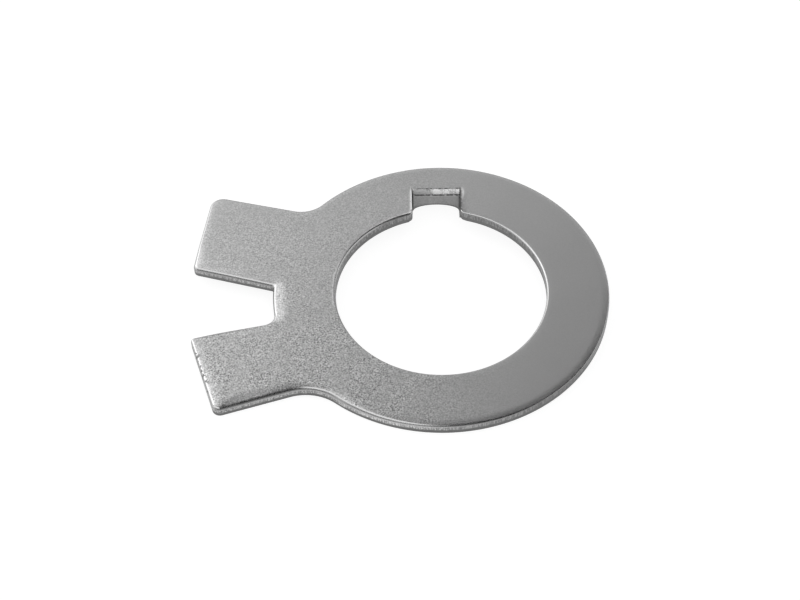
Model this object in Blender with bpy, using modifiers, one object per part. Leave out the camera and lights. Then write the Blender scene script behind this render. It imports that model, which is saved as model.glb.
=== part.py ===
"""Tab lock washer for a large shaft nut, stamped from sheet steel.

A flat ring has a round bore, two locking ears that leave a slot between them, and a key tab that is
sheared from the edge of the bore and folded down to sit in a slot of the hub. Lengths are in metres.
The bore's axis is upright, the ears point along -X and the key tab is on the +Y side.
"""

import math

import bmesh
import bpy
from mathutils import Vector

# Ring
BORE_RADIUS = 0.016
RING_WIDTH = 0.00938
SHEET = 0.0017
DIE_ROLL = 0.0004

# Ears: each straight edge by its lean from an axis and its distance from the bore's centre
FAR_EAR_END = 0.0381
FAR_EAR_END_LEAN = math.radians(9.2)
FAR_EAR_OUTER_EDGE = 0.0105
FAR_EAR_OUTER_LEAN = math.radians(14.1)
FAR_EAR_SLOT_EDGE = 0.00565
FAR_EAR_SLOT_LEAN = math.radians(15.9)
NEAR_EAR_END = 0.0383
NEAR_EAR_END_LEAN = math.radians(17.3)
NEAR_EAR_OUTER_EDGE = 0.01095
NEAR_EAR_OUTER_LEAN = math.radians(17.8)
NEAR_EAR_SLOT_EDGE = 0.0001
NEAR_EAR_SLOT_LEAN = math.radians(13.3)

# Rounded corners of the ears, and the fillets where their edges run into the ring
FAR_EAR_OUTER_CORNER = 0.002
FAR_EAR_SLOT_CORNER = 0.001
NEAR_EAR_SLOT_CORNER = 0.0006
NEAR_EAR_OUTER_CORNER = 0.0012
FAR_EAR_OUTER_FILLET = 0.0045
FAR_EAR_SLOT_FILLET = 0.0004
NEAR_EAR_SLOT_FILLET = 0.0018
NEAR_EAR_OUTER_FILLET = 0.007

# Key tab: its notch, its fold, and its tip with a hollow between two small flats
NOTCH_WIDTH = 0.0075
NOTCH_CENTRE = -0.0003
NOTCH_CORNER = 0.0008
SHEAR_GAP = 0.0001
FOLD_REACH = 0.0049
FOLD_RADIUS = 0.00105
FOLD_FILLET = 0.0003
TAB_DROP = 0.00265
TIP_HOLLOW = 0.0015
TIP_FLAT = 0.0001

# Facets: the largest gap between an arc and its chords, and the steps across a rolled edge
CHORD_ERROR = 0.00001
ROLL_STEPS = 3
CUTTER_SIDES = 96
CUTTER_OVERRUN = 0.001

QUARTER = math.pi / 2.0
CENTRE = Vector((0.0, 0.0))
RING_RADIUS = BORE_RADIUS + RING_WIDTH
STEEL_COLOUR = (0.42, 0.42, 0.42, 1.0)


def clear_scene():
    """Remove the objects that the file starts with."""
    for item in list(bpy.data.objects):
        bpy.data.objects.remove(item, do_unlink=True)


def new_collection(name):
    """Collection linked to the scene."""
    collection = bpy.data.collections.new(name)
    bpy.context.scene.collection.children.link(collection)
    return collection


def edge(facing, distance):
    """Straight edge, as the unit vector that it faces along and its distance from the centre."""
    return Vector((math.cos(facing), math.sin(facing))), distance


def crossing(first, second):
    """Point where two straight edges cross."""
    a, reach_a = first
    b, reach_b = second
    area = a.x * b.y - a.y * b.x
    return Vector((reach_a * b.y - reach_b * a.y, reach_b * a.x - reach_a * b.x)) / area


def arc(centre, radius, start, sweep):
    """Points of an arc, as many as the chord error asks for."""
    step = 2.0 * math.acos(1.0 - CHORD_ERROR / radius)
    count = max(2, math.ceil(abs(sweep) / step))
    turns = [start + sweep * i / count for i in range(count + 1)]
    return [centre + radius * Vector((math.cos(turn), math.sin(turn))) for turn in turns]


def short_arc(centre, radius, start, end):
    """Points of the shorter arc between two points of one circle."""
    first = math.atan2(start.y - centre.y, start.x - centre.x)
    last = math.atan2(end.y - centre.y, end.x - centre.x)
    sweep = (last - first + math.pi) % (2.0 * math.pi) - math.pi
    return arc(centre, radius, first, sweep)


def rim_between(start, end, radius):
    """Arc about the bore's centre, anticlockwise from one point to another."""
    first = math.atan2(start.y, start.x)
    last = math.atan2(end.y, end.x)
    return arc(CENTRE, radius, first, (last - first) % (2.0 * math.pi))


def corner(first, second, radius):
    """Rounded corner of the metal between two of its straight edges."""
    centre = crossing((first[0], first[1] - radius), (second[0], second[1] - radius))
    return short_arc(centre, radius, centre + first[0] * radius, centre + second[0] * radius)


def blend(side, offset, circle, towards):
    """Arc from a straight side to a circle about the bore's centre, touching both.

    It lies outside the circle. Its radius is the size of the offset, which is positive on the
    open side of the edge and negative in the metal. It is on the half of the edge that the
    vector towards points along.
    """
    facing, distance = side
    radius = abs(offset)
    along = Vector((-facing.y, facing.x))
    if along.dot(towards) < 0.0:
        along = -along
    across = distance + offset
    centre = facing * across + along * math.sqrt((circle + radius) ** 2 - across**2)
    touch_side = centre - facing * offset
    touch_circle = centre * circle / (circle + radius)
    return short_arc(centre, radius, touch_side, touch_circle)


def joined(*runs):
    """Outline made of runs of points, with a point that two runs share taken once."""
    points = []
    for run in runs:
        points += [p for p in run if not points or (p - points[-1]).length > CHORD_ERROR]
    if (points[0] - points[-1]).length <= CHORD_ERROR:
        points.pop()
    return points


def outer_outline():
    """Ring and ears from above, anticlockwise."""
    far_outer = edge(QUARTER - FAR_EAR_OUTER_LEAN, FAR_EAR_OUTER_EDGE)
    far_end = edge(2.0 * QUARTER - FAR_EAR_END_LEAN, FAR_EAR_END)
    far_slot = edge(-QUARTER - FAR_EAR_SLOT_LEAN, FAR_EAR_SLOT_EDGE)
    near_slot = edge(QUARTER + NEAR_EAR_SLOT_LEAN, NEAR_EAR_SLOT_EDGE)
    near_end = edge(2.0 * QUARTER + NEAR_EAR_END_LEAN, NEAR_EAR_END)
    near_outer = edge(-QUARTER + NEAR_EAR_OUTER_LEAN, NEAR_EAR_OUTER_EDGE)

    to_ears = Vector((-1.0, 0.0))
    far_root = blend(far_outer, FAR_EAR_OUTER_FILLET, RING_RADIUS, to_ears)
    far_slot_root = blend(far_slot, FAR_EAR_SLOT_FILLET, RING_RADIUS, to_ears)
    near_slot_root = blend(near_slot, NEAR_EAR_SLOT_FILLET, RING_RADIUS, to_ears)
    near_root = blend(near_outer, NEAR_EAR_OUTER_FILLET, RING_RADIUS, to_ears)

    return joined(
        rim_between(near_root[-1], far_root[-1], RING_RADIUS),
        far_root[::-1],
        corner(far_outer, far_end, FAR_EAR_OUTER_CORNER),
        corner(far_end, far_slot, FAR_EAR_SLOT_CORNER),
        far_slot_root,
        rim_between(far_slot_root[-1], near_slot_root[-1], RING_RADIUS),
        near_slot_root[::-1],
        corner(near_slot, near_end, NEAR_EAR_SLOT_CORNER),
        corner(near_end, near_outer, NEAR_EAR_OUTER_CORNER),
        near_root,
    )


def bore_outline():
    """Bore, and the notch that the key tab is folded out of, anticlockwise from above."""
    left = NOTCH_CENTRE - NOTCH_WIDTH / 2.0
    right = NOTCH_CENTRE + NOTCH_WIDTH / 2.0
    fold = BORE_RADIUS + FOLD_REACH
    to_tab = Vector((0.0, 1.0))
    left_corner = blend(edge(0.0, left), -NOTCH_CORNER, BORE_RADIUS, to_tab)
    right_corner = blend(edge(2.0 * QUARTER, -right), -NOTCH_CORNER, BORE_RADIUS, to_tab)
    return joined(
        rim_between(left_corner[-1], right_corner[-1], BORE_RADIUS),
        right_corner[::-1],
        [Vector((right, fold)), Vector((left, fold))],
        left_corner,
    )


def tab_outline():
    """Key tab from the side, as points (Y, Z) with the sheet's upper face at Z = 0.

    The outline's last point lies in the sheet, so that the tab and the plate are joined there.
    """
    fold = BORE_RADIUS + FOLD_REACH
    front = fold - FOLD_RADIUS
    back = front + SHEET
    tip = -SHEET - TAB_DROP
    fillet = Vector((back + FOLD_FILLET, -SHEET - FOLD_FILLET))
    return joined(
        arc(Vector((fold, -FOLD_RADIUS)), FOLD_RADIUS, QUARTER, QUARTER),
        [Vector((front, tip)), Vector((back, tip))],
        arc(fillet, FOLD_FILLET, 2.0 * QUARTER, -QUARTER),
        [Vector((fillet.x, -SHEET / 2.0))],
    )


def plate(name, outlines, thickness, collection):
    """Flat plate with the given outlines, its faces half of the thickness above and below."""
    curve = bpy.data.curves.new(name, "CURVE")
    curve.dimensions = "2D"
    curve.fill_mode = "BOTH"
    curve.extrude = thickness / 2.0
    for points in outlines:
        spline = curve.splines.new("POLY")
        spline.points.add(len(points) - 1)
        for knot, point in zip(spline.points, points):
            knot.co = (point.x, point.y, 0.0, 1.0)
        spline.use_cyclic_u = True
    outline = bpy.data.objects.new(name + "_outline", curve)
    collection.objects.link(outline)
    depsgraph = bpy.context.evaluated_depsgraph_get()
    mesh = bpy.data.meshes.new_from_object(outline.evaluated_get(depsgraph))
    mesh.name = name
    bpy.data.objects.remove(outline, do_unlink=True)
    bpy.data.curves.remove(curve)

    solid = bmesh.new()
    solid.from_mesh(mesh)
    bmesh.ops.remove_doubles(solid, verts=solid.verts, dist=CHORD_ERROR / 10.0)
    bmesh.ops.dissolve_limit(
        solid,
        angle_limit=math.radians(0.1),
        verts=solid.verts,
        edges=solid.edges,
    )
    bmesh.ops.recalc_face_normals(solid, faces=solid.faces)
    solid.to_mesh(mesh)
    solid.free()
    item = bpy.data.objects.new(name, mesh)
    collection.objects.link(item)
    return item


def add_die_roll(washer):
    """Round the upper edges, which the punch draws in, except along the tab's fold."""
    fold = BORE_RADIUS + FOLD_REACH
    solid = bmesh.new()
    solid.from_mesh(washer.data)
    weights = solid.edges.layers.float.new("bevel_weight_edge")
    for rim in solid.edges:
        middle = (rim.verts[0].co + rim.verts[1].co) / 2.0
        upper = all(vert.co.z > 0.0 for vert in rim.verts)
        at_wall = any(abs(face.normal.z) < 0.5 for face in rim.link_faces)
        at_fold = abs(middle.y - fold) < CHORD_ERROR and abs(middle.x) < NOTCH_WIDTH
        if upper and at_wall and not at_fold:
            rim[weights] = 1.0
    solid.to_mesh(washer.data)
    solid.free()
    roll = washer.modifiers.new("die_roll", "BEVEL")
    roll.limit_method = "WEIGHT"
    roll.width = DIE_ROLL
    roll.segments = ROLL_STEPS
    roll.use_clamp_overlap = False


def add_boolean(washer, operation, tool, name):
    """Join a solid to the washer, or cut it away."""
    cut = washer.modifiers.new(name, "BOOLEAN")
    cut.operation = operation
    cut.object = tool
    tool.hide_render = True
    tool.display_type = "WIRE"


def key_tab(collection, place):
    """Folded tab, drawn from the side and laid across the notch."""
    width = NOTCH_WIDTH - 2.0 * SHEAR_GAP
    tab = plate("key_tab", [tab_outline()], width, collection)
    tab.rotation_euler = (QUARTER, 0.0, QUARTER)
    tab.location = place + Vector((NOTCH_CENTRE, 0.0, 0.0))
    return tab


def tip_cutter(collection, place):
    """Half-oval cylinder that hollows the tab's tip, leaving a small flat at each corner."""
    half = NOTCH_WIDTH / 2.0 - SHEAR_GAP - TIP_FLAT
    tab_middle = BORE_RADIUS + FOLD_REACH - FOLD_RADIUS + SHEET / 2.0
    bpy.ops.mesh.primitive_cylinder_add(
        vertices=CUTTER_SIDES,
        radius=half,
        depth=SHEET + 2.0 * CUTTER_OVERRUN,
        location=place + Vector((NOTCH_CENTRE, tab_middle, -SHEET - TAB_DROP)),
        rotation=(QUARTER, 0.0, 0.0),
        scale=(1.0, TIP_HOLLOW / half, 1.0),
    )
    cutter = bpy.context.object
    cutter.name = "tip_hollow"
    for holder in list(cutter.users_collection):
        holder.objects.unlink(cutter)
    collection.objects.link(cutter)
    return cutter


def steel():
    """Plain bright steel with a fine satin finish."""
    material = bpy.data.materials.new("satin_steel")
    material.use_nodes = True
    shader = material.node_tree.nodes["Principled BSDF"]
    shader.inputs["Base Color"].default_value = STEEL_COLOUR
    shader.inputs["Metallic"].default_value = 1.0
    shader.inputs["Roughness"].default_value = 0.38
    return material


def middle_of(points):
    """Middle of the box round a list of points."""
    xs = [point.x for point in points]
    ys = [point.y for point in points]
    return Vector(((min(xs) + max(xs)) / 2.0, (min(ys) + max(ys)) / 2.0))


def build():
    """Washer with its origin at the bottom middle of its box."""
    clear_scene()
    parts = new_collection("tab_lock_washer")
    tools = new_collection("washer_tools")
    outline = outer_outline()
    middle = middle_of(outline)
    upper_face = Vector((-middle.x, -middle.y, SHEET + TAB_DROP))

    washer = plate("washer", [outline, bore_outline()], SHEET, parts)
    washer.location = upper_face - Vector((0.0, 0.0, SHEET / 2.0))
    washer.data.materials.append(steel())
    add_die_roll(washer)
    add_boolean(washer, "UNION", key_tab(tools, upper_face), "key_tab")
    add_boolean(washer, "DIFFERENCE", tip_cutter(tools, upper_face), "tip_hollow")
    washer.data.shade_smooth()
    washer.data.set_sharp_from_angle(angle=math.radians(30.0))


build()
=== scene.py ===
"""Tab lock washer in satin, tumbled sheet steel, on white paper under soft studio light."""

import math

import bmesh
import bpy
import numpy as np
from mathutils import Matrix, Vector


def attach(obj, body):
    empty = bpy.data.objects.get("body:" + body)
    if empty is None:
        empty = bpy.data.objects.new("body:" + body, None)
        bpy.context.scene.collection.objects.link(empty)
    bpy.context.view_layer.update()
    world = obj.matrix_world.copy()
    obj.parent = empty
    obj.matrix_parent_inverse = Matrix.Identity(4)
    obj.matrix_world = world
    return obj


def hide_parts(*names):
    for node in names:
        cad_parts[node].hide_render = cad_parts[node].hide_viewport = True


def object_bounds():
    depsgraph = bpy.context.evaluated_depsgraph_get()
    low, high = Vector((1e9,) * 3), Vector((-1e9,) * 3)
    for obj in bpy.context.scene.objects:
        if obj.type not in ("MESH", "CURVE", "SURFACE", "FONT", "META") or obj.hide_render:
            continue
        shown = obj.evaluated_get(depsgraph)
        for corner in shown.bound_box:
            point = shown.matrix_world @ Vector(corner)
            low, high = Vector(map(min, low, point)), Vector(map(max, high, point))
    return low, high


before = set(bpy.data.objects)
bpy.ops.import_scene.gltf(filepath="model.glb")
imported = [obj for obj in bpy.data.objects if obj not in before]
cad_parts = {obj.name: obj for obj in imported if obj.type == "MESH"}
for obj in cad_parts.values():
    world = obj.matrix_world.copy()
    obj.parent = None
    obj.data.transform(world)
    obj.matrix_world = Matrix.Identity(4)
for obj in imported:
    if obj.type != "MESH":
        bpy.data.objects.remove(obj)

cad_low, cad_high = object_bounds()

# All lengths are in metres and all angles in radians, unless their comment says otherwise

# Sheet and ring, the same sizes as the solid's
BORE_RADIUS = 0.016
RING_RADIUS = 0.02538
SHEET = 0.0017
TAB_DROP = 0.00265

# Ears: each straight edge by the angle it faces and its distance from the bore's centre
FAR_OUTER = (math.radians(90.0 - 14.1), 0.0105)
FAR_END = (math.radians(180.0 - 9.2), 0.0381)
FAR_SLOT = (math.radians(-90.0 - 15.9), 0.00565)
NEAR_SLOT = (math.radians(90.0 + 13.3), 0.0001)
NEAR_END = (math.radians(180.0 + 17.3), 0.0383)
NEAR_OUTER = (math.radians(-90.0 + 17.8), 0.01095)
FAR_OUTER_CORNER = 0.002
FAR_SLOT_CORNER = 0.001
NEAR_SLOT_CORNER = 0.0006
NEAR_OUTER_CORNER = 0.0012
FAR_OUTER_FILLET = 0.0045
FAR_SLOT_FILLET = 0.0004
NEAR_SLOT_FILLET = 0.0018
NEAR_OUTER_FILLET = 0.007

# Notch and folded tab
NOTCH_WIDTH = 0.0075
NOTCH_CENTRE = -0.0003
NOTCH_CORNER = 0.0008
NOTCH_ROOT = 0.00004
SHEAR_GAP = 0.00001
FOLD_REACH = 0.0049
FOLD_RADIUS = 0.00105
FOLD_FILLET = 0.0003
TIP_HOLLOW = 0.0015
TIP_FLAT = 0.0001
TAB_EDGE_ROUND = 0.0001
TIP_ROUND = 0.00012
FOLD_LINE = BORE_RADIUS + FOLD_REACH
TAB_HALF_WIDTH = NOTCH_WIDTH / 2.0 - SHEAR_GAP

# Rolls of the punched upper edges, and the small round under the walls
ROLL_RADIUS = 0.0004
BORE_ROLL_RADIUS = 0.0003
NOTCH_ROLL_RADIUS = 0.00012
BURR_ROUND = 0.00005

# Draw-in of the face beside an edge: its size, the share of its width over which the slope sets
# in, the share of its depth that the even slope takes, and the power of the curl at the edge
DRAW_IN_WIDTH = 0.0016
DRAW_IN_DEPTH = 0.00016
BORE_DRAW_IN_WIDTH = 0.0009
BORE_DRAW_IN_DEPTH = 0.00002
SLOPE_ONSET = 0.3
EVEN_SHARE = 0.85
CURL_POWER = 12

# How the draw-in's depth wavers along the outer edge: share, radians to the metre, first angle
WAVERS = [(0.12, 310.0, 0.0), (0.08, 733.0, 1.0)]

# Leaning walls: the lean of a broken wall below a share of the sheet, and the lean of the bore's
# wall above one, which is most at a bearing from the side of the ears towards the tab
BREAK_TAPER = 0.00003
BREAK_START = 0.5
BORE_TAPER = 0.00014
BORE_TAPER_END = 0.5
BORE_TAPER_BEARING = 0.6

# Torn lip low on the notch's right wall: how far it stands out, how far past the bore's radius it
# reaches and fades, how far it starts within the corner and stops short of the root, and its top
# and slope as shares of the sheet
TORN_LIP = 0.0002
LIP_REACH = 0.0036
LIP_FADE = 0.0006
LIP_CORNER_ROOM = 0.0002
LIP_ROOT_ROOM = 0.0005
LIP_TOP = 0.16
LIP_SLOPE = 0.4

# Painted shade on the bore's wall and on the folded tab: their tone as a share of the face's
BORE_PAINTED_SHADE = 0.6
TAB_PAINTED_SHADE = 0.82

# Polish from tumbling, where 1 is the outer edge's
NOTCH_SIDE_POLISH = 0.7
TAB_POLISH = 0.3
BORE_EDGE_POLISH = 0.5

# Burrs with a painted highlight, the dark seam with painted shade and the dent beside the notch, the
# torn edges with painted shade beside the tab and along its tip, and the chipped edges
TAB_SIDE_SHADE_WIDTH = 0.00016
BURR_PLACE = 0.00016
BURR_WIDTH = 0.00026
BURR_REACH = 0.009
BORE_BURR_AND_HIGHLIGHT = 0.8
BORE_BURR_BEARING = 0.1
BORE_BURR_SPAN = 0.3
RIGHT_BURR_AND_HIGHLIGHT = 0.6
RIGHT_BURR_REACH = 0.003
RIGHT_BURR_SPAN = 0.0011
SEAM_WIDTH = 0.0003
ROOT_ROOM = 0.0003
DENT = 0.5
DENT_WIDTH = 0.0007
DENT_REACH = 0.0017
CHIP_WIDTH = 0.0007
CHIP_ROOM = 0.001
TIP_SHADE_FADE = [0.2, 0.6]

# Shares of a roll's drop over which it turns to wall and takes the wall's painted light and shade, and
# the share of the fold's turn where its tab begins
WALL_RAMP = (0.5, 1.0)
PAINTED_SHADE_RAMP = (1.0 / 30.0, 11.0 / 30.0)
TAB_RAMP = (0.75, 1.0)

# Rows of the grid, down each of its parts
FACE_ROWS = 28
ROLL_ROWS = 11
OUTER_WALL_ROWS = 9
ROUND_ROWS = 5
UNDER_ROWS = 4
INNER_ROWS = 38
BEND_ROWS = 12
FRONT_ROWS = 9
TIP_ROWS = 4
FOOT_ROWS = 7
FADE_ROWS = 4
INNER_WALL_ROWS = INNER_ROWS - ROLL_ROWS - ROUND_ROWS
RIM_ROWS = ROLL_ROWS + OUTER_WALL_ROWS + ROUND_ROWS

# Columns of the grid, and the steps between them along arcs and straight runs
TAB_COLUMNS = 44
TAB_ROUND_COLUMNS = 4
ARC_ERROR = 0.000002
ARC_STEP = math.radians(6.0)
RUN_STEP = 0.0012
COLUMN_ROOM = 0.000001
LENGTH_DIGITS = 7
PLAIN_WALL = -1.0

# Bearings in degrees where ribs leave the ring on both sides of the tab, and where the ribs that
# end at each corner and root of the ears leave the bore
RING_BEARINGS = [60.0, 73.5, 80.5, 101.5, 108.0, 120.0]
EAR_BEARINGS = {
    "far_outer_corner": 155.0,
    "far_slot_corner": 170.0,
    "far_slot_root": 179.0,
    "near_slot_root": 191.0,
    "near_slot_corner": 197.0,
    "near_outer_corner": 207.0,
}

# Fineness of the outlines' tables and of the distances to them, and what counts as one point
TABLE_STEP = 0.00002
TABLE_ROWS = 4
EDGE_STEP = 0.00012
FOLD_ROOM = 0.0002
NEAREST_SQUARE = 1e-10
BLOCK = 4000
WELD = 0.0000001
MERGE = 5.0 * WELD
SHARP_ANGLE = math.radians(35.0)


# Straight edges and arcs of the outlines


def unit(turn):
    """Unit vector at an angle: its cosine and its sine."""
    return np.array([math.cos(turn), math.sin(turn)])


def angle_of(vector):
    """Angle of a vector from the X axis."""
    return math.atan2(vector[1], vector[0])


def crossing(first, second, inset):
    """Point where two straight edges meet after both move into the metal by the inset."""
    rows = np.array([unit(first[0]), unit(second[0])])
    return np.linalg.solve(rows, np.array([first[1] - inset, second[1] - inset]))


def arc(centre, radius, start, end, sense):
    """Arc as its centre, radius, first angle and sweep, turning left for sense 1 and right for -1."""
    sweep = sense * ((sense * (end - start)) % (2.0 * math.pi))
    return centre, radius, start, sweep


def corner(first, second, radius):
    """Rounded corner of the metal between two straight edges, walked anticlockwise."""
    return arc(crossing(first, second, radius), radius, first[0], second[0], 1.0)


def fillet_centre(side, offset, circle, towards):
    """Centre of the arc that touches a straight edge and a circle about the bore's centre.

    It is as far from the edge as the offset, which is positive on the open side, and as far from
    the bore's centre as the circle's radius and the offset's size together.
    """
    across = side[1] + offset
    along = unit(side[0] + math.pi / 2.0)
    if along @ towards < 0.0:
        along = -along
    reach = math.sqrt((circle + abs(offset)) ** 2 - across**2)
    return unit(side[0]) * across + along * reach


def fillet(side, offset, circle, towards, from_circle, sense):
    """Arc between a straight edge and a circle, walked from the circle or towards it."""
    centre = fillet_centre(side, offset, circle, towards)
    at_circle = angle_of(-centre)
    at_side = side[0] + (math.pi if offset > 0.0 else 0.0)
    start, end = (at_circle, at_side) if from_circle else (at_side, at_circle)
    return arc(centre, abs(offset), start, end, sense)


def arc_points(piece, shares):
    """Points of an arc and the way of travel there: centre plus radius times the turned unit vector."""
    centre, radius, start, sweep = piece
    turns = start + sweep * shares
    spokes = np.stack([np.cos(turns), np.sin(turns)], axis=1)
    ways = np.stack([-spokes[:, 1], spokes[:, 0]], axis=1) * np.sign(sweep)
    return centre + radius * spokes, ways


class Outline:
    """Closed path of named arcs joined by straight runs, kept as a fine table over its length.

    At a length along it, the place and the unit vector towards the open side are read from the
    table between its two nearest rows. The open side is on the right of travel for the outer
    edge, and on the left for the bore. The knots are the lengths where the grid has a column.
    """

    def __init__(self, arcs, open_right):
        self.marks = {}
        self.knots = [0.0]
        places, ways, lengths = [], [], []
        length = 0.0
        starts = [arc_points(piece, np.array([0.0]))[0][0] for piece in arcs.values()]
        for (name, piece), following in zip(arcs.items(), starts[1:] + starts[:1]):
            radius, sweep = piece[1], piece[3]
            size = abs(radius * sweep)
            rows = max(TABLE_ROWS, math.ceil(size / TABLE_STEP))
            shares = np.linspace(0.0, 1.0, rows + 1)
            here, way = arc_points(piece, shares)
            places.append(here)
            ways.append(way)
            lengths.append(length + size * shares)
            self.marks[name] = (length, length + size)
            step = min(ARC_STEP, 2.0 * math.acos(1.0 - ARC_ERROR / radius))
            self.add_knots(length, size, abs(sweep) / step)
            length += size
            gap = float(np.linalg.norm(following - here[-1]))
            if gap > WELD:
                self.add_knots(length, gap, gap / RUN_STEP)
                length += gap
        self.length = length
        self.at = np.concatenate(lengths + [np.array([length])])
        self.place = np.concatenate(places + [places[0][:1]])
        way = np.concatenate(ways + [ways[0][:1]])
        side = 1.0 if open_right else -1.0
        self.open = np.stack([way[:, 1], -way[:, 0]], axis=1) * side

    def add_knots(self, begin, size, steps):
        """Adds the far end of each of the equal steps over a stretch, at least as many as asked."""
        steps = max(1, math.ceil(steps))
        self.knots += list(begin + size * np.linspace(0.0, 1.0, steps + 1)[1:])

    def begin(self, name):
        """Length where a named arc begins."""
        return self.marks[name][0]

    def end(self, name):
        """Length where a named arc ends."""
        return self.marks[name][1]

    def middle(self, name):
        """Length halfway along a named arc."""
        return sum(self.marks[name]) / 2.0

    def read(self, lengths):
        """Places and open-side unit vectors at an array of lengths."""
        place = np.stack([np.interp(lengths, self.at, self.place[:, i]) for i in (0, 1)], axis=1)
        out = np.stack([np.interp(lengths, self.at, self.open[:, i]) for i in (0, 1)], axis=1)
        return place, out / np.linalg.norm(out, axis=1, keepdims=True)

    def box_middle(self):
        """Middle of the outline's box. That of the outer edge is the origin of the part's frame."""
        return (self.place.min(axis=0) + self.place.max(axis=0)) / 2.0


TO_EARS = np.array([-1.0, 0.0])
TO_TAB = np.array([0.0, 1.0])
CENTRE = np.array([0.0, 0.0])


def outer_outline():
    """Ring and ears, anticlockwise from where the near ear leaves the ring, and that bearing."""
    near_root = fillet(NEAR_OUTER, NEAR_OUTER_FILLET, RING_RADIUS, TO_EARS, False, -1.0)
    far_root = fillet(FAR_OUTER, FAR_OUTER_FILLET, RING_RADIUS, TO_EARS, True, -1.0)
    far_slot_root = fillet(FAR_SLOT, FAR_SLOT_FILLET, RING_RADIUS, TO_EARS, False, -1.0)
    near_slot_root = fillet(NEAR_SLOT, NEAR_SLOT_FILLET, RING_RADIUS, TO_EARS, True, -1.0)
    start = angle_of(near_root[0])
    slot_start, slot_end = angle_of(far_slot_root[0]), angle_of(near_slot_root[0])
    arcs = {
        "ring": arc(CENTRE, RING_RADIUS, start, angle_of(far_root[0]), 1.0),
        "far_root": far_root,
        "far_outer_corner": corner(FAR_OUTER, FAR_END, FAR_OUTER_CORNER),
        "far_slot_corner": corner(FAR_END, FAR_SLOT, FAR_SLOT_CORNER),
        "far_slot_root": far_slot_root,
        "slot_floor": arc(CENTRE, RING_RADIUS, slot_start, slot_end, 1.0),
        "near_slot_root": near_slot_root,
        "near_slot_corner": corner(NEAR_SLOT, NEAR_END, NEAR_SLOT_CORNER),
        "near_outer_corner": corner(NEAR_END, NEAR_OUTER, NEAR_OUTER_CORNER),
        "near_root": near_root,
    }
    return Outline(arcs, True), start


def bore_outline(start):
    """Bore and its notch, anticlockwise from the same bearing as the outer edge."""
    right = NOTCH_CENTRE + NOTCH_WIDTH / 2.0
    left = NOTCH_CENTRE - NOTCH_WIDTH / 2.0
    right_wall = (math.pi, -right)
    left_wall = (0.0, left)
    right_corner = fillet(right_wall, -NOTCH_CORNER, BORE_RADIUS, TO_TAB, True, -1.0)
    left_corner = fillet(left_wall, -NOTCH_CORNER, BORE_RADIUS, TO_TAB, False, -1.0)
    right_root = np.array([right - NOTCH_ROOT, FOLD_LINE - NOTCH_ROOT])
    left_root = np.array([left + NOTCH_ROOT, FOLD_LINE - NOTCH_ROOT])
    arcs = {
        "right_rim": arc(CENTRE, BORE_RADIUS, start, angle_of(right_corner[0]), 1.0),
        "right_corner": right_corner,
        "right_root": arc(right_root, NOTCH_ROOT, 0.0, math.pi / 2.0, 1.0),
        "left_root": arc(left_root, NOTCH_ROOT, math.pi / 2.0, math.pi, 1.0),
        "left_corner": left_corner,
        "left_rim": arc(CENTRE, BORE_RADIUS, angle_of(left_corner[0]), start, 1.0),
    }
    return Outline(arcs, False)


# Columns of the grid


def left_rim_length(bore, bearing):
    """Length along the bore at a bearing left of its notch."""
    begin = bore.begin("left_rim")
    first = angle_of(bore.read(np.array([begin]))[0][0]) % (2.0 * math.pi)
    return begin + BORE_RADIUS * (bearing - first)


def matching(outer, bore, start):
    """Pairs of lengths, along the outer edge and along the bore, that one straight rib joins.

    On the ring a rib is close to radial. In the ears the ribs fan out, so that none cross.
    """
    bearings = np.radians(RING_BEARINGS)
    beside_tab = [
        BORE_RADIUS * (bearings[0] - start),
        bore.begin("right_corner"),
        bore.middle("right_root"),
        bore.middle("left_root"),
        bore.end("left_corner"),
        left_rim_length(bore, bearings[-1]),
    ]
    pairs = [(0.0, 0.0), *zip(RING_RADIUS * (bearings - start), beside_tab)]
    far_root = outer.end("ring")
    pairs.append((far_root, left_rim_length(bore, far_root / RING_RADIUS + start)))
    for name, degrees in EAR_BEARINGS.items():
        pairs.append((outer.middle(name), left_rim_length(bore, math.radians(degrees))))
    pairs.append((outer.length, bore.length))
    return np.array(pairs)


def columns(outer, bore, pairs):
    """Lengths along both outlines at each column, and how deep into the tab's rounded side it is.

    The last array marks a column that ends at a plain wall, and otherwise gives the inset of the
    tab's section there, from the size of its rounded side down to zero.
    """
    on_outer, on_bore = pairs[:, 0], pairs[:, 1]
    merged = np.concatenate([outer.knots, np.interp(bore.knots, on_bore, on_outer), on_outer])
    merged = np.unique(np.round(merged, LENGTH_DIGITS))
    merged = merged[(merged >= 0.0) & (merged < outer.length - COLUMN_ROOM)]
    inner = np.interp(merged, on_outer, on_bore)

    first = bore.end("right_root") + SHEAR_GAP - NOTCH_ROOT
    last = bore.begin("left_root") - SHEAR_GAP + NOTCH_ROOT
    turn = np.linspace(0.0, math.pi / 2.0, TAB_ROUND_COLUMNS)
    into = TAB_EDGE_ROUND * (1.0 - np.cos(turn))
    inset = TAB_EDGE_ROUND * (1.0 - np.sin(turn))
    half = (last - first) / 2.0 - TAB_EDGE_ROUND
    turn = np.linspace(-math.pi / 2.0, math.pi / 2.0, TAB_COLUMNS)[1:-1]
    across = (first + last) / 2.0 + half * np.sin(turn)
    tab = np.concatenate([[first], first + into, across, (last - into)[::-1], [last]])
    tab_inset = np.concatenate([inset, np.zeros(len(across)), inset[::-1]])

    before = inner < first - COLUMN_ROOM
    after = inner > last + COLUMN_ROOM
    along_bore = np.concatenate([inner[before], tab, inner[after]])
    along_outer = [merged[before], np.interp(tab, on_bore, on_outer), merged[after]]
    insets = np.full(len(along_bore), PLAIN_WALL)
    first_column = np.sum(before) + 1
    insets[first_column:first_column + len(tab_inset)] = tab_inset
    return np.concatenate(along_outer), along_bore, insets


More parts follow.
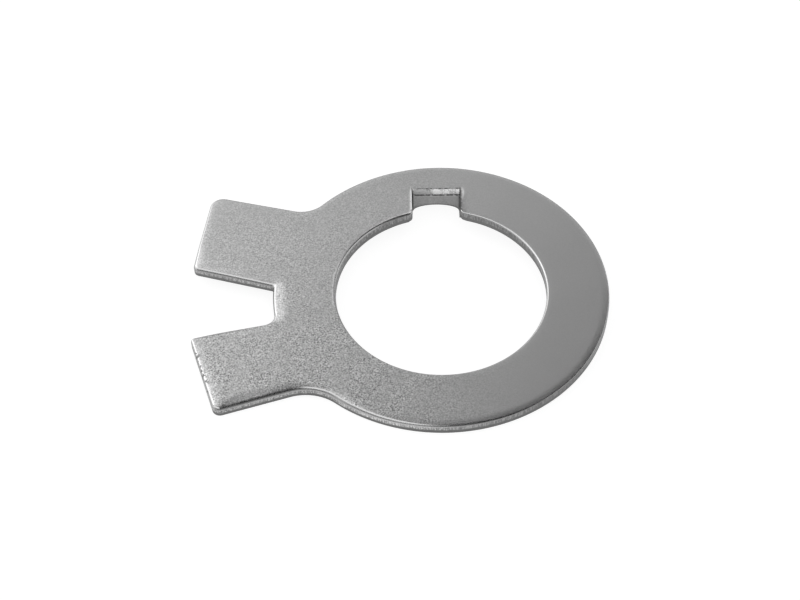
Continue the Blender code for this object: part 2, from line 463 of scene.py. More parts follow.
class Ribs:
    """Columns of the grid: where each starts at the bore's edge and where it ends at the outer one.

    The bore's end of each is also given by its distance from the notch's middle line, its reach
    past the bore's radius towards the tab, and its bearing from the side of the ears.
    """

    def __init__(self):
        self.outer, start = outer_outline()
        self.bore = bore_outline(start)
        pairs = matching(self.outer, self.bore, start)
        self.along_outer, self.along_bore, self.tab_inset = columns(self.outer, self.bore, pairs)
        self.outer_place, self.outer_open = self.outer.read(self.along_outer)
        self.bore_place, self.bore_open = self.bore.read(self.along_bore)
        self.count = len(self.along_outer)
        self.is_tab = self.tab_inset >= 0.0
        before_notch = self.along_bore < self.bore.begin("right_corner")
        self.in_bore = before_notch | (self.along_bore > self.bore.end("left_corner"))
        self.aside = np.abs(self.bore_place[:, 0] - NOTCH_CENTRE)
        self.reach = self.bore_place[:, 1] - BORE_RADIUS
        self.bearing = np.arctan2(self.bore_place[:, 1], -self.bore_place[:, 0])


# Sections of the edges and the tab


def ramp(value, low, high):
    """Zero at low, one at high, and even between them, whichever of them is larger."""
    return np.clip((value - low) / (high - low), 0.0, 1.0)


def wall_section(roll, wall_rows):
    """Section of a sheared wall, as inset and drop: a quarter roll, a wall, and a small round.

    There is one column per radius of the roll. The roll's inset is its radius times one minus the
    sine of the turn, and its drop is the radius times one minus the cosine. The lower part of the
    wall leans in where the sheet broke away.
    """
    roll = roll[None, :]
    turn = np.linspace(0.0, math.pi / 2.0, ROLL_ROWS)[:, None]
    roll_in = roll * (1.0 - np.sin(turn))
    roll_drop = roll * (1.0 - np.cos(turn))
    foot = SHEET - BURR_ROUND
    share = np.linspace(0.0, 1.0, wall_rows + 1)[1:, None]
    wall_drop = roll + (foot - roll) * share
    wall_in = BREAK_TAPER * ramp(wall_drop / SHEET, BREAK_START, 1.0)
    turn = np.linspace(0.0, math.pi / 2.0, ROUND_ROWS + 1)[1:, None]
    round_in = wall_in[-1:] + BURR_ROUND * (1.0 - np.cos(turn))
    round_drop = foot + BURR_ROUND * np.sin(turn) * np.ones_like(roll)
    inset = np.concatenate([roll_in, wall_in, round_in])
    drop = np.concatenate([roll_drop, wall_drop, round_drop])
    return inset, drop


def tab_section(inset, tip):
    """Side view of the folded tab, as distance past the fold line and drop below the face.

    A quarter turn of the fold, the front face, the tip between two small rounds, the back face and
    the fillet under the sheet. The inset moves all of it into the metal, less towards both ends.
    """
    fade = np.ones(INNER_ROWS)
    fade[:FADE_ROWS] = np.linspace(0.0, 1.0, FADE_ROWS)
    fade[-FADE_ROWS:] = np.linspace(1.0, 0.0, FADE_ROWS)
    inset = inset[None, :] * fade[:, None]
    past = np.zeros(inset.shape)
    drop = np.zeros(inset.shape)

    rows = slice(0, BEND_ROWS)
    turn = np.linspace(0.0, math.pi / 2.0, BEND_ROWS)[:, None]
    past[rows] = -(FOLD_RADIUS - inset[rows]) * np.sin(turn)
    drop[rows] = FOLD_RADIUS - (FOLD_RADIUS - inset[rows]) * np.cos(turn)

    rows = slice(rows.stop, rows.stop + FRONT_ROWS)
    share = np.linspace(0.0, 1.0, FRONT_ROWS + 1)[1:, None]
    past[rows] = -FOLD_RADIUS + inset[rows]
    drop[rows] = FOLD_RADIUS + (tip - TIP_ROUND - FOLD_RADIUS) * share

    rows = slice(rows.stop, rows.stop + TIP_ROWS)
    turn = np.linspace(0.0, math.pi / 2.0, TIP_ROWS + 1)[1:, None]
    past[rows] = -FOLD_RADIUS + inset[rows] + TIP_ROUND * (1.0 - np.cos(turn))
    drop[rows] = tip - TIP_ROUND * (1.0 - np.sin(turn))

    rows = slice(rows.stop, rows.stop + 1)
    past[rows] = -FOLD_RADIUS + SHEET / 2.0
    drop[rows] = tip

    rows = slice(rows.stop, rows.stop + TIP_ROWS)
    turn = np.linspace(math.pi / 2.0, 0.0, TIP_ROWS)[:, None]
    past[rows] = SHEET - FOLD_RADIUS - inset[rows] - TIP_ROUND * (1.0 - np.cos(turn))
    drop[rows] = tip - TIP_ROUND * (1.0 - np.sin(turn))

    rows = slice(rows.stop, INNER_ROWS - FOOT_ROWS)
    share = np.linspace(0.0, 1.0, rows.stop - rows.start + 1)[1:, None]
    low = tip - TIP_ROUND
    past[rows] = SHEET - FOLD_RADIUS - inset[rows]
    drop[rows] = low + (SHEET + FOLD_FILLET - low) * share

    rows = slice(rows.stop, INNER_ROWS)
    turn = np.linspace(0.0, math.pi / 2.0, FOOT_ROWS + 1)[1:, None]
    wide = FOLD_FILLET + inset[rows]
    past[rows] = SHEET - FOLD_RADIUS + FOLD_FILLET - wide * np.cos(turn)
    drop[rows] = SHEET + FOLD_FILLET - wide * np.sin(turn)
    return past, drop


def edge_distance(points, outline, skip):
    """Smooth distance to an outline, from the inverse fourth powers of the distances along it.

    Summed along a straight edge they come to half of pi over the cube of the distance, so there
    it is the plain distance. It is less inside a convex corner and more inside a concave one, as
    the draw-in of a punched edge is. A stretch between two lengths can be skipped.
    """
    lengths = np.arange(0.0, outline.length, EDGE_STEP)
    if skip is not None:
        lengths = lengths[(lengths < skip[0]) | (lengths > skip[1])]
    places = outline.read(lengths)[0]
    total = np.empty(len(points))
    for begin in range(0, len(points), BLOCK):
        away = points[begin:begin + BLOCK, None, :] - places[None, :, :]
        square = np.maximum((away**2).sum(axis=2), NEAREST_SQUARE)
        total[begin:begin + BLOCK] = (EDGE_STEP / square**2).sum(axis=1)
    return (total / (math.pi / 2.0)) ** (-1.0 / 3.0)


def draw_in_share(distance, width):
    """Drop of the face near a punched edge, as a share of the drop at the edge.

    What is left of the width, as a share, gives it: a slope that sets in softly and then stays
    even takes most of it, and a high power of the share, which bends over just before the edge,
    takes the rest.
    """
    left = np.clip(1.0 - distance / width, 0.0, 1.0)
    even = np.where(left < SLOPE_ONSET, left**2 / (2.0 * SLOPE_ONSET), left - SLOPE_ONSET / 2.0)
    even = even / (1.0 - SLOPE_ONSET / 2.0)
    return EVEN_SHARE * even + (1.0 - EVEN_SHARE) * left**CURL_POWER


class PunchedEdge:
    """Edge of the sheet along an outline: its roll and wall, and the draw-in of the face beside it.

    The inset and the drop have a row for each row of the wall and a column for each rib.
    """

    def __init__(self, roll, wall_rows, width, depth):
        self.roll = roll
        self.width = width
        self.depth = depth
        self.inset, self.drop = wall_section(roll, wall_rows)

    def points(self, place, towards_open):
        """Points of the roll and the wall: the place less the inset times the way to the open side."""
        grid = np.empty((len(self.inset), len(place), 3))
        grid[:, :, :2] = place[None] - self.inset[:, :, None] * towards_open[None]
        grid[:, :, 2] = -self.drop
        return grid

    def face_drop(self, distance):
        """Drop of the face at a distance from the edge."""
        return self.depth * draw_in_share(distance, self.width)

    def sink(self, distance):
        """How far the draw-in lowers each row, from the distance of the roll's start to the edge.

        Over the roll the distance shrinks with the inset, and down the wall the sink fades out.
        """
        rolled = self.face_drop(distance * self.inset[:ROLL_ROWS] / self.roll)
        below = SHEET - self.drop[ROLL_ROWS:]
        left = np.clip(below / (SHEET - self.drop[ROLL_ROWS - 1]), 0.0, 1.0)
        return np.concatenate([rolled, rolled[-1] * left])


def punch_marks(outer, lengths):
    """Draw-in and roll of the outer edge, and the painted light and shade of its wall, at each length
    along it.

    The draw-in's depth and width and the roll's radius are shares of their usual sizes, and the
    wall's tone, which is painted light and shade, is a share of the face's: lightest on the ring
    beside the near ear and darkest on the right. All four are read off between landmarks: the ring
    from the near ear round to the far ear, then the far ear, the slot and the near ear. The punch
    was tight at the far side and loose at the ears.
    """
    ring = outer.end("ring")
    # Length along the edge, depth, width, roll, and the wall's tone as painted light and shade
    table = [
        (0.0, 1.7, 0.6, 1.2, 1.0),
        (0.04 * ring, 1.7, 0.65, 1.2, 1.2),
        (0.08 * ring, 1.2, 0.8, 1.1, 1.25),
        (0.12 * ring, 0.8, 0.88, 1.0, 1.15),
        (0.16 * ring, 0.6, 0.76, 1.0, 0.9),
        (0.22 * ring, 0.5, 0.7, 0.6, 0.75),
        (0.27 * ring, 0.5, 0.7, 0.4, 0.6),
        (0.33 * ring, 0.55, 0.7, 0.3, 0.45),
        (0.4 * ring, 0.55, 0.7, 0.4, 0.45),
        (0.5 * ring, 0.6, 0.65, 0.4, 0.5),
        (0.6 * ring, 0.4, 0.6, 0.5, 0.6),
        (0.8 * ring, 0.2, 0.52, 0.6, 0.7),
        (ring, 0.35, 0.61, 0.7, 0.75),
        (outer.middle("far_outer_corner"), 0.5, 0.7, 0.8, 0.75),
        (outer.begin("far_slot_corner") - 0.004, 0.4, 0.64, 0.8, 0.9),
        (outer.middle("far_slot_corner"), 1.4, 1.24, 1.3, 0.9),
        (outer.middle("far_slot_corner") + 0.005, 1.1, 1.06, 1.3, 0.9),
        (outer.middle("far_slot_root"), 1.6, 1.36, 1.1, 0.9),
        (outer.middle("near_slot_root"), 1.4, 1.24, 0.9, 0.9),
        (outer.middle("near_slot_corner") - 0.004, 0.3, 0.58, 0.7, 0.9),
        (outer.middle("near_slot_corner") + 0.001, 0.7, 0.82, 0.9, 0.9),
        (outer.middle("near_outer_corner") - 0.003, 1.1, 1.06, 1.0, 0.9),
        (outer.middle("near_outer_corner") + 0.001, 1.5, 1.3, 1.3, 0.9),
        (outer.begin("near_root") - 0.001, 1.2, 1.12, 1.3, 0.95),
        (outer.middle("near_root"), 1.2, 0.7, 1.1, 0.95),
        (outer.length, 1.7, 0.6, 1.2, 1.0),
    ]
    places, *shares = zip(*table)
    return [np.interp(lengths, places, share) for share in shares]


def ring_and_ear_edge(ribs):
    """Punched edge of the ring and the ears, and its wall's painted light and shade. Its draw-in wavers
    a little.
    """
    depth, width, roll, tone = punch_marks(ribs.outer, ribs.along_outer)
    waver = sum(size * np.sin(ribs.along_outer * rate + first) for size, rate, first in WAVERS)
    depth = DRAW_IN_DEPTH * (1.0 + waver) * depth
    return PunchedEdge(ROLL_RADIUS * roll, OUTER_WALL_ROWS, DRAW_IN_WIDTH * width, depth), tone


def bore_and_notch_edge(ribs):
    """Punched edge of the bore and the notch.

    The bore is widest at its upper edge: over the upper part of the sheet its wall comes in, by
    the lean's size times a half plus half the cosine of the angle from the bearing where it is
    most. The notch's right wall tore, and its lower part stands out in front of the tab.
    """
    bore = ribs.bore
    right, left = "right_corner", "left_corner"
    corners = [bore.begin(right), bore.end(right), bore.begin(left), bore.end(left)]
    radii = [BORE_ROLL_RADIUS, NOTCH_ROLL_RADIUS, NOTCH_ROLL_RADIUS, BORE_ROLL_RADIUS]
    roll = np.interp(ribs.along_bore, corners, radii)
    edge = PunchedEdge(roll, INNER_WALL_ROWS, BORE_DRAW_IN_WIDTH, BORE_DRAW_IN_DEPTH)
    depth = edge.drop / SHEET

    past_corner = ribs.along_bore > bore.end(right) - LIP_CORNER_ROOM
    before_root = ribs.along_bore < bore.begin("right_root") - LIP_ROOT_ROOM
    lip = TORN_LIP * ramp(ribs.reach, LIP_REACH, LIP_REACH - LIP_FADE) * past_corner * before_root
    edge.inset -= lip * ramp(depth, LIP_TOP, LIP_TOP + LIP_SLOPE)

    turned = 0.5 + 0.5 * np.cos(ribs.bearing - BORE_TAPER_BEARING)
    taper = BORE_TAPER * ribs.in_bore * turned
    edge.inset -= taper * ramp(depth, 0.0, BORE_TAPER_END)
    return edge


def folded_tab(ribs):
    """Surface of the folded tab: its section carried across it, with a tip hollowed by an ellipse."""
    place = ribs.bore_place[ribs.is_tab]
    across = ribs.aside[ribs.is_tab] / (TAB_HALF_WIDTH - TIP_FLAT)
    tip = SHEET + TAB_DROP - TIP_HOLLOW * np.sqrt(np.maximum(1.0 - across**2, 0.0))
    past, drop = tab_section(ribs.tab_inset[ribs.is_tab], tip)
    return np.stack([np.broadcast_to(place[:, 0], past.shape), FOLD_LINE + past, -drop], axis=2)


def between_rows(first, last, shares):
    """Rows of points on the straight lines from one row to another, at the given shares."""
    shares = shares[:, None, None]
    return first[None] * (1.0 - shares) + last[None] * shares


# Values that the steel's finish and its painted light and shade follow


def loop_values(face, rim, under, inner, count):
    """One value for each point of the grid, from those of its face, rim, underside and bore side."""
    face = np.broadcast_to(face, (FACE_ROWS, count))
    rim = np.broadcast_to(rim, (RIM_ROWS, count))
    under = np.broadcast_to(under, (UNDER_ROWS, count))
    inner = np.broadcast_to(inner, (INNER_ROWS, count))
    return np.concatenate([face, rim[1:], under, inner[:0:-1]])


def bell(value, middle, span, power=2):
    """One at the middle, falling away on both sides: e to the minus power of the distance in spans."""
    return np.exp(-(((value - middle) / span) ** power))


def notch_marks(ribs, to_bore):
    """Shares of the face's burr and painted highlight, and of its dark seam and painted shade, at each
    distance from the bore's edge.

    The left wall of the notch kept a bright burr, painted as a white highlight, which runs on along
    the bore, and the bore has one beside the ears. The right wall has a dark seam, painted darker as
    shade, with a short burr and painted highlight beside it and a dent near the bore.
    """
    bore = ribs.bore
    past_corner = np.maximum(ribs.along_bore - bore.end("left_corner"), 0.0)
    left = np.clip(1.0 - past_corner / BURR_REACH, 0.0, 1.0)
    left = left * (ribs.along_bore > bore.end("left_root") - ROOT_ROOM)
    beside_ears = BORE_BURR_AND_HIGHLIGHT * ribs.in_bore * bell(ribs.bearing, BORE_BURR_BEARING, BORE_BURR_SPAN, 4)
    left = np.maximum(left, beside_ears)
    right = ribs.along_bore < bore.begin("right_root") + ROOT_ROOM
    right = right & (ribs.along_bore > bore.end("right_rim"))
    short = RIGHT_BURR_AND_HIGHLIGHT * right * bell(ribs.reach, RIGHT_BURR_REACH, RIGHT_BURR_SPAN, 4)
    burr_and_highlight = bell(to_bore, BURR_PLACE, BURR_WIDTH) * left
    burr_and_highlight += bell(to_bore, SEAM_WIDTH + BURR_PLACE, BURR_WIDTH) * short
    seam_and_shade = bell(to_bore, 0.0, SEAM_WIDTH) * right
    dent = DENT * bell(to_bore, 0.0, DENT_WIDTH) * right * (ribs.reach < DENT_REACH)
    return burr_and_highlight, np.maximum(seam_and_shade, dent)


def torn_steel_and_painted_shade(ribs, past_bend):
    """Share of dark steel on the bore side: the notch's torn walls, darkened also as painted shade, and
    painted shade in the gaps beside the tab's sides and along its tip.
    """
    bore = ribs.bore
    past_right = ribs.along_bore > bore.end("right_corner")
    in_notch = past_right & (ribs.along_bore < bore.begin("left_corner")) & ~ribs.is_tab
    # Painted shade in the gaps beside the tab's sides
    tab_side_shade = bell(ribs.aside, TAB_HALF_WIDTH, TAB_SIDE_SHADE_WIDTH) * ribs.is_tab
    # Painted shade along the tab's tip
    tip_shade = np.zeros((INNER_ROWS, 1))
    front_end = BEND_ROWS + FRONT_ROWS
    tip_shade[front_end - len(TIP_SHADE_FADE):front_end, 0] = TIP_SHADE_FADE
    tip_shade[front_end:front_end + TIP_ROWS] = 1.0
    return np.maximum(in_notch, np.maximum(tab_side_shade * past_bend, tip_shade * ribs.is_tab))


def finish_and_painted_light_values(ribs, rim_edge, painted_wall_shading, bore_edge, to_outer, to_bore):
    """Values for each point of the grid, by name, from the distances of the face to both edges."""
    count = ribs.count
    plain = ~ribs.is_tab
    rim_drop = rim_edge.drop / rim_edge.roll
    rim_wall = ramp(rim_drop, *WALL_RAMP)
    bore_wall = ramp(bore_edge.drop / bore_edge.roll, *WALL_RAMP) * plain
    bend = np.ones((INNER_ROWS, 1))
    bend[:BEND_ROWS, 0] = np.linspace(0.0, 1.0, BEND_ROWS)
    past_bend = ramp(bend, *TAB_RAMP)

    polish = draw_in_share(to_outer, rim_edge.width)
    polish = polish + BORE_EDGE_POLISH * draw_in_share(to_bore, bore_edge.width)
    side_polish = np.where(ribs.is_tab, TAB_POLISH, NOTCH_SIDE_POLISH)
    # Painted light and shade on the outer walls, which sets in over the top of each roll
    rim_painted_shading = 1.0 - (1.0 - painted_wall_shading) * ramp(rim_drop, *PAINTED_SHADE_RAMP)
    # Painted shade: the bore's wall and the folded tab are darker than the face
    bore_painted_shade = 1.0 - (1.0 - BORE_PAINTED_SHADE) * bore_wall - (1.0 - TAB_PAINTED_SHADE) * past_bend * ribs.is_tab
    burr_and_highlight, seam_and_shade = notch_marks(ribs, to_bore)

    # The end of the near ear is chipped
    outer = ribs.outer
    ear_end = ribs.along_outer > outer.end("near_slot_corner")
    ear_end = ear_end & (ribs.along_outer < outer.begin("near_outer_corner") + CHIP_ROOM)
    chips = bell(to_outer, 0.0, CHIP_WIDTH) * ear_end
    rim_chips = ear_end * (rim_edge.drop < SHEET / 2.0)

    parts = {
        "wall": (0.0, rim_wall, 0.0, bore_wall),
        "wall_depth": (0.0, rim_edge.drop / SHEET, 1.0, bore_edge.drop / SHEET * plain),
        "fold": (0.0, 0.0, 0.0, bend * ribs.is_tab),
        "edge_polish": (np.clip(polish, 0.0, 1.0), 1.0, 0.0, side_polish),
        "painted_shading": (1.0, rim_painted_shading, 0.0, bore_painted_shade),
        "torn": (0.0, 0.0, 0.0, torn_steel_and_painted_shade(ribs, past_bend)),
        "burr_and_highlight": (burr_and_highlight, 0.0, 0.0, 0.0),
        "seam_and_shade": (seam_and_shade, 0.0, 0.0, 0.0),
        "chips": (chips, rim_chips, 0.0, 0.0),
    }
    return {name: loop_values(*values, count) for name, values in parts.items()}


# The washer


def closed_grid(name, grid, values):
    """Mesh from a grid of points that closes both ways, with a value per point for each attribute."""
    rows, cols = grid.shape[:2]
    index = np.arange(rows * cols).reshape(rows, cols)
    down = np.roll(index, -1, axis=0)
    along = np.roll(index, -1, axis=1)
    both = np.roll(down, -1, axis=1)
    faces = np.stack([index, down, both, along], axis=2).reshape(-1, 4)
    mesh = bpy.data.meshes.new(name)
    mesh.from_pydata(grid.reshape(-1, 3), [], faces)
    for key, value in values.items():
        layer = mesh.attributes.new(key, "FLOAT", "POINT")
        layer.data.foreach_set("value", value.astype(np.float32).ravel())
    return mesh


def finish_shell(mesh):
    """Welds the points that coincide, drops faces without area and turns the faces outwards."""
    solid = bmesh.new()
    solid.from_mesh(mesh)
    bmesh.ops.remove_doubles(solid, verts=solid.verts, dist=MERGE)
    bmesh.ops.dissolve_degenerate(solid, edges=solid.edges, dist=MERGE)
    bmesh.ops.triangulate(solid, faces=[face for face in solid.faces if len(face.verts) > 4])
    bmesh.ops.recalc_face_normals(solid, faces=solid.faces)
    solid.to_mesh(mesh)
    solid.free()
    mesh.shade_smooth()
    mesh.set_sharp_from_angle(angle=SHARP_ANGLE)


def washer_shell():
    """The whole washer as one closed surface: a section carried round the bore and the outer edge.

    Each column is a closed loop: over the face from the bore to the outer edge, down the outer
    wall, back under the sheet and up the bore's wall, or round the folded tab where it is.
    """
    ribs = Ribs()
    rim_edge, painted_wall_shading = ring_and_ear_edge(ribs)
    bore_edge = bore_and_notch_edge(ribs)
    rim = rim_edge.points(ribs.outer_place, ribs.outer_open)
    inner = bore_edge.points(ribs.bore_place, ribs.bore_open)
    inner[:, ribs.is_tab] = folded_tab(ribs)

    # The face's rows are closer together near both edges, and end where the rolls begin
    shares = 0.5 - 0.5 * np.cos(math.pi * np.linspace(0.0, 1.0, FACE_ROWS))
    face = between_rows(inner[0], rim[0], shares)
    flat = face[:, :, :2].reshape(-1, 2)
    fold = (ribs.bore.begin("right_root") - FOLD_ROOM, ribs.bore.end("left_root") + FOLD_ROOM)
    to_outer = edge_distance(flat, ribs.outer, None).reshape(FACE_ROWS, ribs.count)
    to_bore = edge_distance(flat, ribs.bore, fold).reshape(FACE_ROWS, ribs.count)
    face[:, :, 2] = -rim_edge.face_drop(to_outer) - bore_edge.face_drop(to_bore)
    rim[:, :, 2] -= rim_edge.sink(to_outer[-1])
    inner[:, :, 2] -= np.where(ribs.is_tab, 0.0, bore_edge.sink(to_bore[0]))
    under = between_rows(rim[-1], inner[-1], np.linspace(0.0, 1.0, UNDER_ROWS + 2)[1:-1])

    grid = np.concatenate([face, rim[1:], under, inner[:0:-1]])
    grid[:, :, :2] -= ribs.outer.box_middle()
    grid[:, :, 2] += SHEET + TAB_DROP
    grid = np.clip(grid, np.array(cad_low), np.array(cad_high))
    values = finish_and_painted_light_values(ribs, rim_edge, painted_wall_shading, bore_edge, to_outer, to_bore)
    mesh = closed_grid("steel_washer", grid, values)
    finish_shell(mesh)
    return mesh


# Steel

# Noises: features to the metre, and detail
GRAIN = (4200.0, 1.0)
PITS = (2300.0, 1.0)
PATCHES = (330.0, 2.0)
CLOUDS = (90.0, 2.0)
DRAG = (5200.0, 2.0)
RAGGED = (900.0, 3.0)
TORN = (2600.0, 3.0)
SKIN = (1500.0, 2.0)
DRAG_STRETCH = (1.0, 1.0, 0.12)

# How deep the tumbling bit, and how strong the painted glints and pits in the colour over it are:
# least, level in the middle, gain to the metre towards the near side, places along X where it is
# none and full, and the share of it that is the same in all patches
LEAST_BITE_AND_GLINTS = 0.04
MIDDLE_BITE_AND_GLINTS = 0.6
BITE_AND_GLINT_GAIN = 14.0
BITE_AND_GLINT_SPAN = (0.02, -0.006)
EVEN_BITE_AND_GLINTS = 0.65

# Parts of the fold, as shares of its quarter turn: where each sets in and where it fades out. Its
# painted highlight, on the right part, sets in along X.
CREASE = ((0.01, 0.05), (0.1, 0.2))
STRETCHED = ((0.08, 0.2), (0.62, 0.7))
FOOT_SHADE = ((0.62, 0.7), (0.8, 0.88))
FOLD_HIGHLIGHT_SPAN = (0.0042, 0.006)

# Levels between which a pattern goes from none to full, and shares that are mixed in
PATCH_LEVELS = (0.36, 0.6)
CALM_LEVELS = (1.0, 0.5)
CREASE_LEVELS = (0.46, 0.6)
FOOT_SHADE_LEVELS = (0.4, 0.56)
SPOT_LEVELS = (0.62, 0.78)
BROKEN_LEVELS = (0.66, 0.76)
BURR_LEVELS = (0.25, 0.45)
SEAM_LEVELS = (0.3, 0.5)
CHIP_LEVELS = (0.56, 0.62)
STREAK_LEVELS = (0.4, 0.6)
GRAIN_IN_SPOTS = 0.4
RAGGED_IN_BREAK = 0.3
CHIP_SHARE = 0.7
FOOT_SHADE_SHARE = 0.9
DRAG_SHARE = 0.7

# Tones: the face, what is added to it, and what the marks have instead
FACE_TONE = 0.425
CLOUD_TONE = 0.05
GLINT_AND_PIT_TONE = 1.4
POLISH_TONE = 0.04
FOLD_TONE = 0.34
FOLD_HIGHLIGHT_TONE = 0.42
FOLD_SPOT_TONE = 0.3
CREASE_TONE = 0.14
FOOT_SHADE_TONE = 0.1
STREAK_TONE = 0.7
STREAK_RANGE = 0.5
BROKEN_TONE = 0.24
BURR_AND_HIGHLIGHT_TONE = 1.0
DARK_TONE = 0.06

# Roughness of the face, what is added to it, that of the rough marks, and the dark marks' gloss
FACE_ROUGHNESS = 0.32
PIT_ROUGHNESS = 0.12
POLISH_SMOOTHING = 0.12
SKIN_ROUGHNESS = 0.4
MARK_ROUGHNESS = 0.5
DARK_GLOSS = 0.2

# Heights of the bumps
GRAIN_HEIGHT = 0.0000135
DRAG_HEIGHT = 0.000004
TORN_HEIGHT = 0.00003
SKIN_HEIGHT = 0.00008


class Nodes:
    """Short ways to add shader nodes to one material."""

    def __init__(self, material):
        material.use_nodes = True
        self.tree = material.node_tree
        self.shader = self.tree.nodes["Principled BSDF"]

    def add(self, kind, **inputs):
        """Adds a node. An input may be a number, a colour or another node's output."""
        node = self.tree.nodes.new(kind)
        for key, value in inputs.items():
            name = int(key[1:]) if key[0] == "_" else key.replace("_", " ")
            self.feed(node.inputs[name], value)
        return node

    def feed(self, socket, value):
        """Gives a socket a value or a link."""
        if isinstance(value, bpy.types.NodeSocket):
            self.tree.links.new(value, socket)
        else:
            socket.default_value = value

    def math(self, operation, first, second):
        """One arithmetic step."""
        node = self.add("ShaderNodeMath", _0=first, _1=second)
        node.operation = operation
        return node.outputs[0]

    def plus(self, first, second):
        """Sum of two values."""
        return self.math("ADD", first, second)

    def minus(self, first, second):
        """First value less the second."""
        return self.math("SUBTRACT", first, second)

    def times(self, first, second):
        """Product of two values."""
        return self.math("MULTIPLY", first, second)

    def larger(self, first, second):
        """The larger of two values."""
        return self.math("MAXIMUM", first, second)

    def between(self, value, low, high):
        """Zero at low, one at high, and a smooth step between them, whichever of them is larger."""
        node = self.add("ShaderNodeMapRange", Value=value, From_Min=low, From_Max=high)
        node.interpolation_type = "SMOOTHSTEP"
        return node.outputs["Result"]

    def band(self, value, rise, fall):
        """One from the end of the rise to the start of the fall, and zero outside both."""
        return self.minus(self.between(value, *rise), self.between(value, *fall))

    def mix(self, share, first, second):
        """First where the share is zero, second where it is one."""
        node = self.add("ShaderNodeMix", Factor=share, _2=first, _3=second)
        return node.outputs[0]

    def noise(self, place, per_metre, detail):
        """Cloudy noise with so many features to the metre, about 0.5 on average."""
        node = self.add("ShaderNodeTexNoise", Vector=place, Scale=per_metre, Detail=detail)
        return node.outputs["Fac"]

    def value_of(self, name):
        """A value that the mesh carries per point."""
        node = self.tree.nodes.new("ShaderNodeAttribute")
        node.attribute_name = name
        return node.outputs["Fac"]

    def grey(self, value):
        """The same number as red, green and blue."""
        return self.add("ShaderNodeCombineColor", Red=value, Green=value, Blue=value).outputs[0]

    def bump(self, heights):
        """Normal bent by each height in turn, given as its pattern, its size and its strength."""
        normal = None
        for pattern, size, strength in heights:
            bump = self.add("ShaderNodeBump", Height=pattern, Distance=size, Strength=strength)
            if normal is not None:
                self.feed(bump.inputs["Normal"], normal)
            normal = bump.outputs["Normal"]
        return normal


